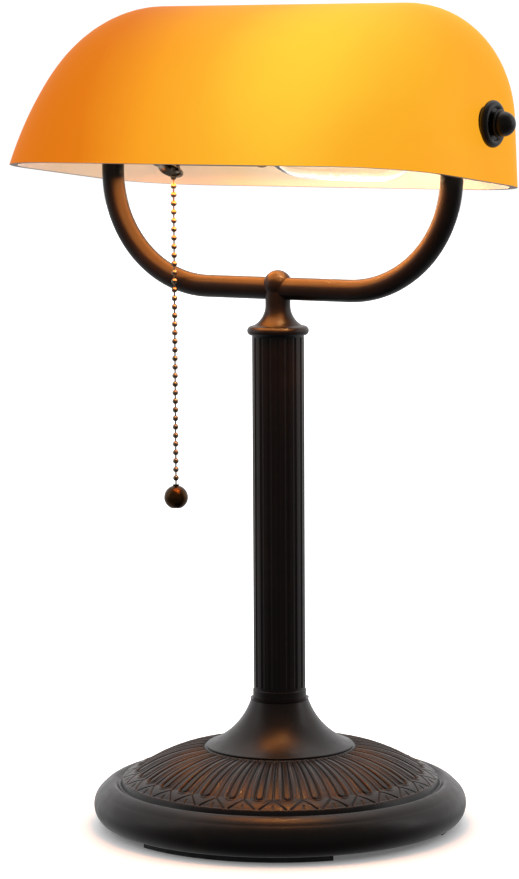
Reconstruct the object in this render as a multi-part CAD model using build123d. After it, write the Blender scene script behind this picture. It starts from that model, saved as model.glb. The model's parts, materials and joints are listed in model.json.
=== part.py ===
from build123d import *
import math
import os

# Desk lamp with a tilting glass shade on a U-shaped yoke, a pull-chain lamp holder
# and a cast, embossed round base.  Millimetres.  Z is up, the shade's long axis is X
# and the front is -Y.  The origin is on the resting plane, on the column's axis.

# ---------------------------------------------------------------- driving dimensions
# Base
FEET_H = 3.6
FEET_R_IN = 79.0
FEET_R_OUT = 87.0
FEET_COUNT = 3
FEET_SPAN = 68.0
FEET_START = -76.0
BASE_R = 94.6
BASE_WIDEST_Z = 9.0
BASE_WALL = 2.6
RIM_TOP_R = 85.5
RIM_TOP_Z = 22.4
GROOVE_R = 81.4
GROOVE_Z = 20.7
PATTERN_R = 80.0
PATTERN_EDGE_Z = 24.3
BRIM_R = 72.0
BRIM_Z = 28.2
SEAT_R = 38.0
SEAT_Z = 39.8
COVER_R = 89.6
COVER_T = 1.6
WEIGHT_Z0 = 14.0
WEIGHT_R = 72.0
COVER_SCREW_RING_R = 50.0
COVER_SCREW_R = 2.0
COVER_SCREW_COUNT = 3
CORD_Z = 11.0
CORD_BORE_R = 3.2
BUSHING_R = 4.95

# Cone foot and column
CONE_R = 37.4
LIP_R = 14.8
LIP_Z = 64.7
COLUMN_R = 13.05
COLUMN_WALL = 1.5
COLUMN_TOP = 249.2
FLUTES = 18
FLUTE_DEPTH = 0.55
FLUTE_R = 1.5
COLLAR_H = 4.6
ROD_R = 5.0
ROD_BORE_R = 3.5
ROD_Z0 = 19.0
ROD_Z1 = 262.0

# Neck and yoke
RING_R = 15.5
RING_H = 4.3
NECK_R = 6.3
NECK_SCREW_Z = 257.6
NECK_SCREW_R = 1.5
LEAD_HOLE_R = 3.2
BALL_R = 7.2
YOKE_Z = 272.4
YOKE_R = 5.65
YOKE_WALL = 1.0
YOKE_HALF_SPAN = 98.2
YOKE_BEND_R = 57.0
YOKE_TOP = 343.0
FIT = 0.02

# Shade pivot
PIVOT_Z = 355.0
STUD_R = 4.0
RUN = 0.05
FITTING_R = 7.2
FITTING_Z0 = 336.0
FITTING_Z1 = 362.5
FITTING_CAVITY_R = 4.3
KNOB_R = 6.05
KNOB_X = 126.0
END_WASHER_R = 11.4
END_WASHER_X = 118.7

# Shade glass, described level and then tilted about the pivot axis
SHADE_TILT = 6.25
SHADE_TOP = 414.4
SHADE_RIM = 327.3
SHADE_CREST_Y = 9.7
SHADE_BACK_R = 52.9
SHADE_CROWN_R = 89.8
SHADE_CROWN_SWEEP = 51.0
SHADE_FRONT_R = 145.0
SHADE_HALF_TOP = 110.9
SHADE_HALF_RIM = 119.7
SHADE_CORNER_R = 41.0
GLASS_T = 4.0

# Lamp holder and bulb, along X
HOLDER_Z = 349.0
HOLDER_TURN = -35.0
HOLDER_R = 16.0
CAP_R = 16.85
HOLDER_MOUTH = -8.0
SWITCH_X0 = -66.0
SWITCH_X1 = -34.0
BELL_X = -55.0
BELL_MOUTH = 22.0
BELL_R = 6.65
BELL_NECK_R = 3.35
BELL_HOLE_R = 3.4
PULL_END = 17.5
CAM_Z = 5.0
CAM_PIN_R = 1.0
TERMINAL_Y = 9.0
SPRING_TURNS = 5
SPRING_H = 8.0
SPRING_R = 2.0
SPRING_WIRE_R = 0.22
BULB_R = 22.5
BULB_END = 80.5
BULB_NECK_X = -2.0
THREAD_R = 13.1
THREAD_PITCH = 3.63
THREAD_DEPTH = 0.55
THREADS = 5
THREAD_X0 = -24.5
BULB_GLASS_T = 0.8
FILAMENTS = 4
FILAMENT_X0 = 26.0
FILAMENT_X1 = 62.0
FILAMENT_R0 = 6.5
FILAMENT_R1 = 9.5

# Pull chain
BEAD_R = 1.5
BEAD_PITCH = 4.37
BEAD_TOP_Z = 331.8
BEAD_COUNT = 37
PULL_BALL_R = 6.1
PULL_BALL_Z = 164.6
LINK_R = 0.4

# Internal twin lead
LEAD_R = 1.4

os.makedirs("parts", exist_ok=True)


# ---------------------------------------------------------------- helpers
def save(name, shape):
    export_step(shape, f"parts/{name}.step")


def turned(*curves):
    """Solid of revolution about Z from a closed outline drawn as (radius, height)."""
    return revolve(Plane.XZ * make_face(Curve() + list(curves)), Axis.Z)


def turned_z(points):
    """Solid of revolution about Z from straight (radius, height) points."""
    return turned(Polyline(*points, close=True))


def turned_x(points):
    """Solid of revolution about X from straight (along, radius) points."""
    return revolve(make_face(Polyline(*points, close=True)), Axis.X)


def rod_z(radius, z0, z1):
    return Pos(0, 0, (z0 + z1) / 2) * Cylinder(radius, z1 - z0)


def rod_x(radius, x0, x1, z=0.0):
    return Pos((x0 + x1) / 2, 0, z) * Rot(0, 90, 0) * Cylinder(radius, x1 - x0)


def rod_y(radius, y0, y1, z=0.0):
    return Pos(0, (y0 + y1) / 2, z) * Rot(90, 0, 0) * Cylinder(radius, y1 - y0)


def block(x0, x1, y0, y1, z0, z1):
    centre = Pos((x0 + x1) / 2, (y0 + y1) / 2, (z0 + z1) / 2)
    return centre * Box(x1 - x0, y1 - y0, z1 - z0)


def ring_sector(r_in, r_out, z0, z1, middle, span):
    """Arc-shaped block about Z, centred on an angle in degrees."""
    outline = make_face(Polyline((r_in, z0), (r_out, z0), (r_out, z1), (r_in, z1), close=True))
    return Rot(0, 0, middle - span / 2) * revolve(Plane.XZ * outline, Axis.Z, span)


def hex_prism(across_flats, height):
    return extrude(RegularPolygon(across_flats / 2, 6, major_radius=False), height)


def pan_screw(head_r, head_h, shank_r, shank_l):
    """Pan-head screw, head underside at z = 0, shank going up, cross slot below."""
    body = Pos(0, 0, -head_h / 2) * Cylinder(head_r, head_h)
    body += rod_z(shank_r, 0, shank_l)
    slot = block(-head_r * 0.6, head_r * 0.6, -0.4, 0.4, -head_h, -head_h * 0.5)
    return body - slot - Rot(0, 0, 90) * slot


def mirrored(shape):
    return shape.mirror(Plane.YZ)


def on_shade(shape):
    """Move a piece from the level shade to the tilted rest position."""
    return Pos(0, 0, PIVOT_Z) * Rot(-SHADE_TILT, 0, 0) * Pos(0, 0, -PIVOT_Z) * shape


def on_holder(shape):
    """Move a piece from the lamp holder's own frame (axis on X) to its place."""
    return Pos(0, 0, HOLDER_Z) * Rot(HOLDER_TURN, 0, 0) * shape


# ---------------------------------------------------------------- base
def base_plate():
    outer = [
        ThreePointArc((91.6, FEET_H), (BASE_R, BASE_WIDEST_Z), (90.8, 18.9)),
        ThreePointArc((90.8, 18.9), (88.1, 21.2), (RIM_TOP_R, RIM_TOP_Z)),
        ThreePointArc((RIM_TOP_R, RIM_TOP_Z), (84.2, 22.3), (83.0, 21.6)),
        Line((83.0, 21.6), (GROOVE_R, GROOVE_Z)),
        Line((GROOVE_R, GROOVE_Z), (PATTERN_R, PATTERN_EDGE_Z)),
        ThreePointArc((PATTERN_R, PATTERN_EDGE_Z), (76.5, 26.6), (BRIM_R, BRIM_Z)),
        ThreePointArc((BRIM_R, BRIM_Z), (56.0, 36.1), (SEAT_R, SEAT_Z)),
        Line((SEAT_R, SEAT_Z), (ROD_R + 0.3, SEAT_Z)),
    ]
    w = BASE_WALL
    shelf_z = GROOVE_Z - 2.3
    inner = [
        Line((ROD_R + 0.3, SEAT_Z), (ROD_R + 0.3, SEAT_Z - w)),
        Line((ROD_R + 0.3, SEAT_Z - w), (SEAT_R, SEAT_Z - w)),
        ThreePointArc((SEAT_R, SEAT_Z - w), (55.2, 33.6), (BRIM_R - 1.0, BRIM_Z - w)),
        Line((BRIM_R - 1.0, BRIM_Z - w), (77.6, 22.4)),
        Line((77.6, 22.4), (79.3, shelf_z)),
        Line((79.3, shelf_z), (83.6, shelf_z)),
        ThreePointArc((83.6, shelf_z), (89.8, 15.4), (BASE_R - w, CORD_Z)),
        Line((BASE_R - w, CORD_Z), (COVER_R + 0.1, FEET_H + COVER_T)),
        Line((COVER_R + 0.1, FEET_H + COVER_T), (COVER_R + 0.1, FEET_H)),
        Line((COVER_R + 0.1, FEET_H), (91.6, FEET_H)),
    ]
    return turned(*outer, *inner) - rod_y(BUSHING_R + 0.05, 80.0, 100.0, CORD_Z)


def cover_screw_places():
    step = 360.0 / COVER_SCREW_COUNT
    angles = [30.0 + step * i for i in range(COVER_SCREW_COUNT)]
    return [Rot(0, 0, angle) * Pos(COVER_SCREW_RING_R, 0, 0) for angle in angles]


def base_weight():
    body = turned_z([
        (ROD_R + 0.3, 26.0), (14.0, 26.0), (14.0, WEIGHT_Z0), (WEIGHT_R, WEIGHT_Z0),
        (WEIGHT_R, 22.0), (48.0, 32.0), (20.0, SEAT_Z - BASE_WALL),
        (ROD_R + 0.3, SEAT_Z - BASE_WALL),
    ])
    for place in cover_screw_places():
        body -= place * rod_z(COVER_SCREW_R + FIT, WEIGHT_Z0, 22.0)
    return body


def base_cover():
    disc = rod_z(COVER_R, FEET_H, FEET_H + COVER_T)
    for place in cover_screw_places():
        disc += place * rod_z(5.0, FEET_H + COVER_T, WEIGHT_Z0)
        disc -= place * rod_z(COVER_SCREW_R + 0.05, FEET_H, WEIGHT_Z0)
    return disc


def base_feet():
    step = 360.0 / FEET_COUNT
    pads = []
    for i in range(FEET_COUNT):
        middle = FEET_START + step * i
        pads.append(ring_sector(FEET_R_IN, FEET_R_OUT, 0, FEET_H, middle, FEET_SPAN))
    return Compound(children=pads)


def cover_screws():
    screw = Pos(0, 0, FEET_H) * pan_screw(4.0, 1.8, COVER_SCREW_R, 17.0)
    return Compound(children=[place * screw for place in cover_screw_places()])


def cord_bushing():
    body = rod_y(BUSHING_R, 84.0, 97.0, CORD_Z) & rod_z(BASE_R - 0.1, 0, 30)
    body += rod_y(BUSHING_R + 0.65, 84.0, 86.0, CORD_Z)
    return body - rod_y(CORD_BORE_R, 80.0, 100.0, CORD_Z)


def cord_clamp():
    body = block(-5, 5, 62, 70, FEET_H + COVER_T, WEIGHT_Z0)
    body -= rod_y(LEAD_R + FIT, 60, 72, CORD_Z)
    return body


def rod_washer():
    return rod_z(12.0, 24.4, 26.0) - rod_z(ROD_R + 0.1, 24, 27)


def rod_nut():
    return Pos(0, 0, 19.6) * hex_prism(17.0, 4.8) - rod_z(ROD_R + FIT, 19, 25)


def threaded_rod():
    return rod_z(ROD_R, ROD_Z0, ROD_Z1) - rod_z(ROD_BORE_R, ROD_Z0, ROD_Z1)


# ---------------------------------------------------------------- cone foot and column
def cone_foot():
    outline = [
        Line((CONE_R - 4.0, SEAT_Z), (CONE_R - 0.3, SEAT_Z)),
        ThreePointArc((CONE_R - 0.3, SEAT_Z), (CONE_R, SEAT_Z + 0.5), (CONE_R - 0.5, SEAT_Z + 1.1)),
        ThreePointArc((CONE_R - 0.5, SEAT_Z + 1.1), (21.4, 51.7), (LIP_R - 0.2, LIP_Z - 1.0)),
        Line((LIP_R - 0.2, LIP_Z - 1.0), (LIP_R, LIP_Z)),
        Line((LIP_R, LIP_Z), (COLUMN_R + FIT, LIP_Z)),
        Line((COLUMN_R + FIT, LIP_Z), (COLUMN_R + FIT, LIP_Z - 3.0)),
        Line((COLUMN_R + FIT, LIP_Z - 3.0), (ROD_R + 0.2, LIP_Z - 3.0)),
        Line((ROD_R + 0.2, LIP_Z - 3.0), (ROD_R + 0.2, LIP_Z - 7.0)),
        Line((ROD_R + 0.2, LIP_Z - 7.0), (11.5, LIP_Z - 7.0)),
        ThreePointArc((11.5, LIP_Z - 7.0), (18.6, 49.6), (CONE_R - 4.0, SEAT_Z)),
    ]
    return turned(*outline)


def column_tube():
    body = rod_z(COLUMN_R, LIP_Z - 3.0, COLUMN_TOP)
    body -= rod_z(COLUMN_R - COLUMN_WALL, LIP_Z - 3.0, COLUMN_TOP)
    flute = rod_z(FLUTE_R, LIP_Z + COLLAR_H + 1.2, COLUMN_TOP - 1.0)
    flute = Pos(COLUMN_R + FLUTE_R - FLUTE_DEPTH, 0, 0) * flute
    for i in range(FLUTES):
        body -= Rot(0, 0, 360.0 * i / FLUTES) * flute
    return body


def column_collar():
    r_in = COLUMN_R + FIT
    r_out = COLUMN_R + 0.45
    z1 = LIP_Z + COLLAR_H
    return turned_z([
        (r_in, LIP_Z), (r_out, LIP_Z), (r_out, z1 - 0.4), (r_out - 0.25, z1), (r_in, z1),
    ])


# ---------------------------------------------------------------- neck and yoke
def neck_knuckle():
    z0 = COLUMN_TOP
    z1 = z0 + RING_H
    spigot_r = COLUMN_R - COLUMN_WALL - FIT
    outline = [
        Line((ROD_R + FIT, z0 - 6.0), (spigot_r, z0 - 6.0)),
        Line((spigot_r, z0 - 6.0), (spigot_r, z0)),
        Line((spigot_r, z0), (RING_R - 1.2, z0)),
        ThreePointArc((RING_R - 1.2, z0), (RING_R, (z0 + z1) / 2), (RING_R - 1.6, z1)),
        Line((RING_R - 1.6, z1), (12.0, z1 + 0.5)),
        ThreePointArc((12.0, z1 + 0.5), (7.9, z1 + 4.6), (NECK_R, z1 + 10.4)),
        Line((NECK_R, z1 + 10.4), (NECK_R, YOKE_Z)),
        Line((NECK_R, YOKE_Z), (ROD_R + FIT, YOKE_Z)),
        Line((ROD_R + FIT, YOKE_Z), (ROD_R + FIT, z0 - 6.0)),
    ]
    body = turned(*outline)
    body += rod_z(NECK_R, ROD_Z1 + 1.0, YOKE_Z)
    body += Pos(0, 0, YOKE_Z + 2.0) * Sphere(BALL_R)
    body -= rod_x(YOKE_R + FIT, -20, 20, YOKE_Z)
    body -= rod_z(LEAD_HOLE_R, ROD_Z1 - 1.0, YOKE_Z)
    body -= rod_z(ROD_R + FIT, z0 - 7.0, ROD_Z1 + 1.0)
    return body - rod_y(NECK_SCREW_R, 0.0, 12.0, NECK_SCREW_Z)


def neck_set_screw():
    body = rod_y(NECK_SCREW_R, ROD_R + FIT, 8.6, NECK_SCREW_Z)
    return body - rod_y(0.8, 7.4, 9.0, NECK_SCREW_Z)


def yoke_path(end_z):
    a = YOKE_HALF_SPAN
    b = YOKE_BEND_R
    return FilletPolyline((-a, 0, end_z), (-a, 0, YOKE_Z), (a, 0, YOKE_Z), (a, 0, end_z), radius=b)


def yoke_tube():
    path = yoke_path(YOKE_TOP)
    start = Plane(origin=(-YOKE_HALF_SPAN, 0, YOKE_TOP), z_dir=(0, 0, -1))
    outer = sweep(start * Circle(YOKE_R), path=path)
    inner = sweep(start * Circle(YOKE_R - YOKE_WALL), path=path)
    return outer - inner - rod_z(LEAD_HOLE_R, YOKE_Z - 8.0, YOKE_Z)


def pivot_fitting():
    """Cast end of the yoke's arm, at +X: holds the tube, the stud and the lead's way."""
    r = FITTING_R
    z0 = FITTING_Z0
    z1 = FITTING_Z1
    cavity = FITTING_CAVITY_R
    outline = [
        Line((YOKE_R + FIT, z0), (r - 0.6, z0)),
        Line((r - 0.6, z0), (r, z0 + 0.6)),
        Line((r, z0 + 0.6), (r, z1 - 3.0)),
        ThreePointArc((r, z1 - 3.0), (r - 0.9, z1 - 0.9), (r - 3.0, z1)),
        Line((r - 3.0, z1), (0, z1)),
        Line((0, z1), (0, z1 - 2.5)),
        Line((0, z1 - 2.5), (cavity, z1 - 2.5)),
        Line((cavity, z1 - 2.5), (cavity, YOKE_TOP)),
        Line((cavity, YOKE_TOP), (YOKE_R + FIT, YOKE_TOP)),
        Line((YOKE_R + FIT, YOKE_TOP), (YOKE_R + FIT, z0)),
    ]
    body = turned(*outline)
    return Pos(YOKE_HALF_SPAN, 0, 0) * (body - rod_x(STUD_R + FIT, 0, 10, PIVOT_Z))


def pivot_stud():
    x0 = YOKE_HALF_SPAN + 1.0
    return turned_x([(x0, 0), (x0, STUD_R), (128.0, STUD_R), (128.5, STUD_R - 0.5), (128.5, 0)])


def stud_locknut():
    x0 = YOKE_HALF_SPAN + FITTING_R + 0.05
    nut = Pos(x0, 0, 0) * Rot(0, 90, 0) * hex_prism(13.0, 4.0)
    return nut - rod_x(STUD_R + FIT, x0 - 1, x0 + 5)


def stud_washer():
    return rod_x(8.0, 109.45, 110.45) - rod_x(STUD_R + 0.1, 109, 111)


# ---------------------------------------------------------------- shade
def on_end(edge):
    """True for an edge that lies in one of the shade's two end planes."""
    xs = [edge.position_at(t).X for t in (0.0, 0.5, 1.0)]
    return min(xs) > SHADE_HALF_TOP - 8.0 or max(xs) < 8.0 - SHADE_HALF_TOP


def shade_form(inset, bottom):
    """Solid form of the shade, drawn in by inset and cut level at bottom."""
    slope = (SHADE_HALF_RIM - SHADE_HALF_TOP) / (SHADE_TOP - SHADE_RIM)
    back_r = SHADE_BACK_R - inset
    crown_r = SHADE_CROWN_R - inset
    front_r = SHADE_FRONT_R - inset
    sweep_rad = math.radians(SHADE_CROWN_SWEEP)
    step = SHADE_FRONT_R - SHADE_CROWN_R
    back_c = (SHADE_CREST_Y, SHADE_TOP - SHADE_BACK_R)
    crown_c = (SHADE_CREST_Y, SHADE_TOP - SHADE_CROWN_R)
    front_c = (crown_c[0] + step * math.sin(sweep_rad), crown_c[1] - step * math.cos(sweep_rad))
    crown_end = 90.0 + SHADE_CROWN_SWEEP
    front_end = 180.0 - math.degrees(math.asin((bottom - front_c[1]) / front_r))
    front_y = front_c[0] - math.sqrt(front_r ** 2 - (bottom - front_c[1]) ** 2)
    back_y = back_c[0] + back_r
    outline = [
        Line((front_y, bottom), (back_y, bottom)),
        Line((back_y, bottom), (back_y, back_c[1])),
        CenterArc(back_c, back_r, 0, 90),
        CenterArc(crown_c, crown_r, 90, SHADE_CROWN_SWEEP),
        CenterArc(front_c, front_r, crown_end, front_end - crown_end),
    ]
    trough = extrude(Plane.YZ * make_face(Curve() + outline), 150, both=True)
    draw_in = inset * math.sqrt(1 + slope ** 2)
    half_top = SHADE_HALF_TOP - slope * 5.0 - draw_in
    half_low = SHADE_HALF_RIM + slope * (SHADE_RIM - bottom) - draw_in
    ends = make_face(Polyline(
        (-half_low, bottom), (half_low, bottom),
        (half_top, SHADE_TOP + 5.0), (-half_top, SHADE_TOP + 5.0), close=True,
    ))
    body = trough & extrude(Plane.XZ * ends, 200, both=True)
    corner = [e for e in body.edges() if on_end(e) and e.center().Z > bottom + 1.0]
    return fillet(corner, SHADE_CORNER_R - inset)


def shade_parts():
    outer = shade_form(0.0, SHADE_RIM)
    cavity = shade_form(GLASS_T, SHADE_RIM - 4.0)
    glass = outer - cavity
    glass -= rod_x(6.0, -130, 130, PIVOT_Z)
    bore = rod_x(STUD_R + RUN, 90, 140, PIVOT_Z)
    inner = (rod_x(9.0, 110.5, 120.0, PIVOT_Z) & cavity) + (rod_x(5.9, 112.0, 125.0, PIVOT_Z) & outer)
    inner -= bore
    outer_gasket = rod_x(8.5, 112.0, END_WASHER_X, PIVOT_Z) - outer - bore
    return glass, inner, outer_gasket


def end_washer():
    x = END_WASHER_X
    r = END_WASHER_R
    outline = [
        Line((x, STUD_R + 0.3), (x, r - 1.0)),
        ThreePointArc((x, r - 1.0), (x + 1.9, r), (x + 3.8, r - 1.9)),
        ThreePointArc((x + 3.8, r - 1.9), (x + 3.6, r - 3.0), (x + 2.6, r - 3.6)),
        Line((x + 2.6, r - 3.6), (x + 2.6, STUD_R + 0.3)),
        Line((x + 2.6, STUD_R + 0.3), (x, STUD_R + 0.3)),
    ]
    return revolve(make_face(Curve() + outline), Axis.X)


def knob():
    x = END_WASHER_X + 2.7
    body = turned_x([
        (x, 0), (x, 5.3), (x + 2.2, 6.9), (x + 2.6, 7.15), (x + 3.2, 7.15), (x + 3.5, 6.7),
        (x + 3.6, 5.6), (x + 4.2, 5.2), (x + 4.2, 0),
    ])
    body += Pos(KNOB_X, 0, 0) * Sphere(KNOB_R) & block(x + 1.0, 140, -9, 9, -9, 9)
    return body - rod_x(STUD_R + RUN, x - 1, 129.0)


# ---------------------------------------------------------------- lamp holder
def holder_nipple():
    x0 = -YOKE_HALF_SPAN + 4.0
    return rod_x(5.0, x0, -79.0) - rod_x(3.6, x0 - 1, -78.0)


def holder_cap():
    outline = [
        Line((-88.0, 5.0 + FIT), (-88.0, 7.6)),
        Line((-88.0, 7.6), (-81.5, 7.6)),
        ThreePointArc((-81.5, 7.6), (-77.0, 12.3), (-69.5, CAP_R)),
        Line((-69.5, CAP_R), (-60.5, CAP_R)),
        Line((-60.5, CAP_R), (-60.5, HOLDER_R + FIT)),
        Line((-60.5, HOLDER_R + FIT), (-69.0, HOLDER_R + FIT)),
        ThreePointArc((-69.0, HOLDER_R + FIT), (-76.0, 11.5), (-80.0, 6.6)),
        Line((-80.0, 6.6), (-80.0, 5.0 + FIT)),
        Line((-80.0, 5.0 + FIT), (-88.0, 5.0 + FIT)),
    ]
    return revolve(make_face(Curve() + outline), Axis.X) - cap_screw_hole()


def cap_screw_hole():
    return Pos(-84.8, 0, 0) * rod_z(1.5, 5.0, 9.0)


def cap_set_screw():
    body = Pos(-84.8, 0, 0) * rod_z(1.5 - FIT, 5.0 + FIT, 9.2)
    return body - Pos(-84.8, 0, 0) * block(-1.5, 1.5, -0.25, 0.25, 8.4, 9.4)


def holder_shell():
    wall = 0.8
    outline = turned_x([
        (-68.0, HOLDER_R - wall), (-68.0, HOLDER_R), (HOLDER_MOUTH - 1.6, HOLDER_R),
        (HOLDER_MOUTH - 1.2, HOLDER_R + 0.4), (HOLDER_MOUTH - 0.4, HOLDER_R + 0.4),
        (HOLDER_MOUTH, HOLDER_R), (HOLDER_MOUTH, HOLDER_R - wall),
    ])
    return outline - bell_hole()


def bell_hole():
    return Pos(BELL_X, 0, 0) * rod_z(BELL_HOLE_R, -24.0, -12.5)


def holder_liner():
    r1 = HOLDER_R - 0.85
    tube = turned_x([(-64.0, r1 - 0.9), (-64.0, r1), (-9.5, r1), (-9.5, r1 - 0.9)])
    return tube - bell_hole()


def switch_body():
    r = HOLDER_R - 1.85
    body = rod_x(r, SWITCH_X0, SWITCH_X1)
    body -= block(BELL_X - 6, BELL_X + 6, -8.2, 8.2, -16.0, 11.5)
    body -= rod_x(CAM_PIN_R + FIT, BELL_X - 8.0, BELL_X + 8.0, CAM_Z)
    for side in (-1, 1):
        body -= Pos(0, side * TERMINAL_Y, 0) * rod_x(1.6, SWITCH_X0 - 1, SWITCH_X0 + 6.0)
    return body


def terminal_screws():
    screws = []
    for side in (-1, 1):
        screw = Rot(0, 90, 0) * pan_screw(3.0, 1.6, 1.6 - FIT, 5.5)
        screws.append(Pos(SWITCH_X0, side * TERMINAL_Y, 0) * screw)
    return Compound(children=screws)


def cam_pin():
    return rod_x(CAM_PIN_R, BELL_X - 7.8, BELL_X + 7.8, CAM_Z)


def switch_cam():
    body = rod_x(4.3, BELL_X - 4.0, BELL_X + 4.0)
    for i in range(4):
        body -= Rot(90.0 * i, 0, 0) * block(BELL_X - 5, BELL_X + 1, -0.9, 0.9, 3.0, 5.0)
    body -= rod_x(CAM_PIN_R + RUN, BELL_X - 5, BELL_X + 5)
    return Pos(0, 0, CAM_Z) * body


def pull_arm():
    foot = block(BELL_X - 3, BELL_X + 3, -3.0, 7.2, -4.6, -3.2)
    blade = block(BELL_X - 1.2, BELL_X + 1.2, 6.0, 7.2, -4.6, 7.0)
    stem = Pos(BELL_X, 0, 0) * rod_z(0.9, -PULL_END, -4.0)
    eye = Pos(BELL_X, 0, -PULL_END) * Sphere(1.3)
    return foot + blade + stem + eye


def return_spring():
    helix = Helix(pitch=SPRING_H / SPRING_TURNS, height=SPRING_H, radius=SPRING_R)
    start = Plane(origin=helix @ 0, z_dir=helix % 0)
    wire = sweep(start * Circle(SPRING_WIRE_R), path=helix)
    return Pos(BELL_X, 0, -12.9) * wire


def bell_mouth():
    lip = BELL_MOUTH
    outline = [
        Line((2.7, -14.9), (BELL_NECK_R, -14.9)),
        Line((BELL_NECK_R, -14.9), (BELL_NECK_R, -17.2)),
        ThreePointArc((BELL_NECK_R, -17.2), (4.3, -19.7), (BELL_R - 0.2, -lip + 0.35)),
        ThreePointArc((BELL_R - 0.2, -lip + 0.35), (BELL_R, -lip), (BELL_R - 0.35, -lip - 0.2)),
        ThreePointArc((BELL_R - 0.35, -lip - 0.2), (3.85, -20.3), (2.7, -17.2)),
        Line((2.7, -17.2), (2.7, -14.9)),
    ]
    return Pos(BELL_X, 0, 0) * turned(*outline)


def thread_outline(x0, count, radius):
    """Rounded-thread ridges as (along, radius) points, from x0 towards +X."""
    points = []
    for i in range(count):
        x = x0 + THREAD_PITCH * i
        points += [
            (x, radius - THREAD_DEPTH), (x + THREAD_PITCH * 0.3, radius),
            (x + THREAD_PITCH * 0.7, radius),
        ]
    points.append((x0 + THREAD_PITCH * count, radius - THREAD_DEPTH))
    return points


def screw_shell():
    root = THREAD_R + 0.1
    wall = 0.45
    inner = thread_outline(THREAD_X0, THREADS, root)
    outer = [(x, r + wall) for x, r in reversed(inner)]
    floor_r = root - THREAD_DEPTH
    floor = [(-31.6, floor_r + wall), (-31.6, 6.0), (-31.15, 6.0), (-31.15, floor_r)]
    return turned_x(inner + outer + floor)


def shell_seat():
    return rod_x(HOLDER_R - 1.85, SWITCH_X1, -31.7) - rod_x(4.0, SWITCH_X1 - 1, -31.0)


def centre_contact():
    tongue = block(-31.65, -31.05, -2.5, 2.5, -2.5, 2.5)
    leg = block(-33.9, -31.4, -2.5, -1.9, -2.5, 2.5)
    tip = block(-31.05, -29.35, -1.6, 1.6, -1.6, 1.6)
    return tongue + leg + tip


# ---------------------------------------------------------------- bulb
def bulb_base():
    wall = 0.4
    outer = thread_outline(THREAD_X0, THREADS, THREAD_R)
    x1 = outer[-1][0]
    skirt = [(x1 + 0.6, THREAD_R - 0.3), (BULB_NECK_X, THREAD_R - 0.3)]
    skirt_in = [(BULB_NECK_X, THREAD_R - 0.3 - wall), (x1 + 0.4, THREAD_R - 0.3 - wall)]
    inner = [(x, r - wall) for x, r in reversed(outer)]
    return turned_x(outer + skirt + skirt_in + inner)


def bulb_insulator():
    r = THREAD_R - THREAD_DEPTH
    return turned_x([
        (-28.6, 0.0), (-28.6, 4.6), (THREAD_X0 - 0.05, r), (THREAD_X0 - 0.05, r - 0.5),
        (THREAD_X0 + 1.5, r - 0.5), (THREAD_X0 + 1.5, 0.0),
    ])


def bulb_contact():
    return turned_x([(-29.3, 0), (-29.3, 2.6), (-28.6, 4.2), (-28.6, 0)])


def bulb_glass():
    wall = BULB_GLASS_T
    cap_x = BULB_END - BULB_R
    r = BULB_R
    n = THREAD_R - 0.75
    outer = [
        Line((BULB_NECK_X - 4.0, n), (BULB_NECK_X, n)),
        Spline((BULB_NECK_X, n), (7.0, 19.4), (16.0, 21.4), (40.0, r - 0.1), (cap_x, r),
               tangents=[(0.55, 1.0), (1.0, 0.0)]),
        CenterArc((cap_x, 0), r, 90, -90),
        Line((BULB_END, 0), (BULB_END - wall, 0)),
        CenterArc((cap_x, 0), r - wall, 0, 90),
        Spline((cap_x, r - wall), (40.0, r - 0.1 - wall), (16.4, 21.4 - wall), (7.5, 19.4 - wall),
               (BULB_NECK_X + 0.6, n - wall), tangents=[(-1.0, 0.0), (-0.55, -1.0)]),
        Line((BULB_NECK_X + 0.6, n - wall), (BULB_NECK_X - 4.0, n - wall)),
        Line((BULB_NECK_X - 4.0, n - wall), (BULB_NECK_X - 4.0, n)),
    ]
    return revolve(make_face(Curve() + outer), Axis.X)


def bulb_stem():
    """Glass stem: flare sealed to the neck, then the pressed pillar."""
    r = THREAD_R - 0.75 - 0.85
    return turned_x([
        (-8.0, 2.2), (-8.0, r), (-6.0, r), (0.0, 6.0), (6.0, 4.2), (22.0, 3.0), (24.0, 1.8),
        (24.0, 0.0), (2.0, 0.0), (2.0, 2.2),
    ])


def filament_ends(i):
    angle = math.radians(45.0 + 360.0 * i / FILAMENTS)
    c = math.cos(angle)
    s = math.sin(angle)
    low = Vector(FILAMENT_X0, FILAMENT_R1 * c, FILAMENT_R1 * s)
    high = Vector(FILAMENT_X1, FILAMENT_R0 * c, FILAMENT_R0 * s)
    return low, high


def strut(a, b, radius):
    """Straight round bar from point a to point b."""
    return extrude(Plane(origin=a, z_dir=(b - a)) * Circle(radius), (b - a).length)


def bulb_filaments():
    return Compound(children=[strut(*filament_ends(i), 0.9) for i in range(FILAMENTS)])


def bulb_wires():
    """Support wires from the pillar to the filament ends, and the upper ring wire."""
    gap = 0.05
    body = rod_x(0.45, 24.0 + gap, FILAMENT_X1 + 1.6)
    for i in range(FILAMENTS):
        low, high = filament_ends(i)
        low -= Vector(1.0, 0, 0)
        high += Vector(1.0, 0, 0)
        body += strut(Vector(24.6, 0, 0), low, 0.3)
        body += strut(Vector(FILAMENT_X1 + 1.0, 0, 0), high, 0.3)
    return body


# ---------------------------------------------------------------- pull chain
def chain_y():
    return PULL_END * math.sin(math.radians(HOLDER_TURN))


def pull_chain():
    """Ball chain: beads on short links, hanging plumb from the pull arm."""
    z_eye = HOLDER_Z - PULL_END * math.cos(math.radians(HOLDER_TURN))
    chain = rod_z(LINK_R, PULL_BALL_Z + PULL_BALL_R - 0.1, z_eye - 1.35)
    bead = Sphere(BEAD_R)
    chain += [Pos(0, 0, BEAD_TOP_Z - BEAD_PITCH * i) * bead for i in range(BEAD_COUNT)]
    return Pos(BELL_X, chain_y(), 0) * chain


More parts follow.
